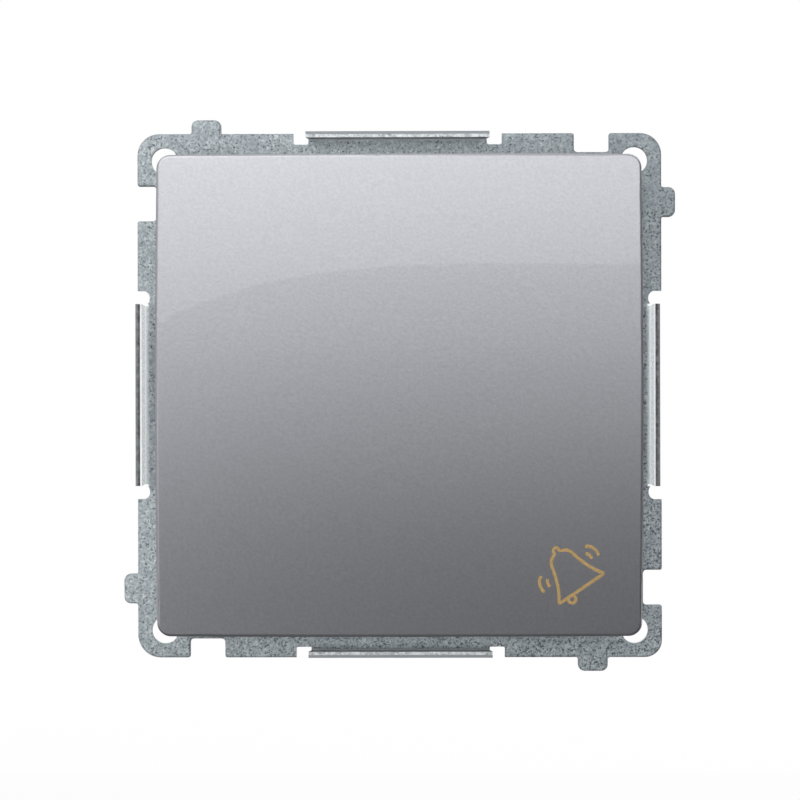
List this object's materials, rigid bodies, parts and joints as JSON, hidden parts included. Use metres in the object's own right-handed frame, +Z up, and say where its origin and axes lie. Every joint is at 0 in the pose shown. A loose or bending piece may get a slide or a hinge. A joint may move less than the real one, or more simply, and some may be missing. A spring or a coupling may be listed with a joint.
{
  "type": "flush bell push module",
  "caption": "Flush wall push button: square silver rocker key with a bell sign on a galvanised steel mounting plate with interlocking edges, contact housing and spreading claws behind.",
  "frame": {"origin": "middle of the mounting plate on the wall's surface, at the plate's rear face", "axes": "+X to the right as seen from the room, +Y into the wall, +Z up; the key faces -Y"},
  "size_m": [0.0744, 0.0315, 0.0744],
  "materials": {
    "plate_zinc": "galvanised",
    "key_lacquer": "satin silver lacquer on moulded plastic",
    "base_plastic": "moulded",
    "frame_plastic": "moulded",
    "rocker_plastic": "moulded",
    "screw_steel": "zinc plated",
    "claw_steel": "zinc plated",
    "pin_steel": "drawn",
    "spring_steel": "drawn",
    "bronze": "rolled",
    "silver": "bright",
    "brass": "rolled",
    "terminal_brass": "machined"
  },
  "bodies": {
    "fixed": {"mounting_plate": "plate_zinc", "base_housing": "base_plastic", "bearing_frame": "frame_plastic", "frame_screws": "screw_steel", "return_spring": "spring_steel", "contact_spring": "spring_steel", "fixed_contact": "silver", "arm_bracket": "brass", "contact_pin": "pin_steel", "contact_strip": "brass", "terminal_blocks": "terminal_brass", "terminal_screws": "screw_steel", "claw_pins": "pin_steel"},
    "push": {"key": "key_lacquer", "push_rocker": "rocker_plastic"},
    "switch_arm": {"contact_arm": "bronze", "moving_contact": "silver"},
    "screw_left": {"claw_screw_left": "screw_steel"},
    "nut_left": {"claw_nut_left": "claw_steel"},
    "spreader_left": {"claw_left": "claw_steel"},
    "screw_right": {"claw_screw_right": "screw_steel"},
    "nut_right": {"claw_nut_right": "claw_steel"},
    "spreader_right": {"claw_right": "claw_steel"}
  },
  "joints": [
    {"name": "push", "type": "hinge", "parent": "fixed", "child": "push", "pos_m": [0, -0.0047, 0], "axis": [1, 0, 0], "range_deg": [0, 3.5], "stiffness_Nm_per_rad": 0.6, "springref_deg": -2.86, "deforming": ["return_spring"]},
    {"name": "switch", "type": "hinge", "parent": "fixed", "child": "switch_arm", "pos_m": [0, 0.0044, 0.002], "axis": [1, 0, 0], "range_deg": [0, 3], "deforming": ["contact_spring"]},
    {"name": "claw_nut_left", "type": "slide", "parent": "fixed", "child": "nut_left", "axis": [0, -1, 0], "range_m": [0, 0.00173]},
    {"name": "claw_screw_left", "type": "hinge", "parent": "fixed", "child": "screw_left", "pos_m": [-0.0205, -0.0014, 0], "axis": [0, 1, 0], "range_deg": [0, 1038.2]},
    {"name": "claw_left", "type": "hinge", "parent": "fixed", "child": "spreader_left", "pos_m": [-0.0261, 0.017, 0], "axis": [0, 0, -1], "range_deg": [0, 18.1]},
    {"name": "claw_nut_right", "type": "slide", "parent": "fixed", "child": "nut_right", "axis": [0, -1, 0], "range_m": [0, 0.00173]},
    {"name": "claw_screw_right", "type": "hinge", "parent": "fixed", "child": "screw_right", "pos_m": [0.0205, -0.0014, 0], "axis": [0, 1, 0], "range_deg": [0, 1038.2]},
    {"name": "claw_right", "type": "hinge", "parent": "fixed", "child": "spreader_right", "pos_m": [0.0261, 0.017, 0], "axis": [0, 0, 1], "range_deg": [0, 18.1]}
  ],
  "couplings": [
    {"joint": "switch", "follows": "push", "ratio": 0.85},
    {"joint": "claw_screw_left", "follows": "claw_nut_left", "rad_per_m": 10472},
    {"joint": "claw_left", "follows": "claw_nut_left", "rad_per_m": 181.92},
    {"joint": "claw_screw_right", "follows": "claw_nut_right", "rad_per_m": 10472},
    {"joint": "claw_right", "follows": "claw_nut_right", "rad_per_m": 181.92}
  ]
}
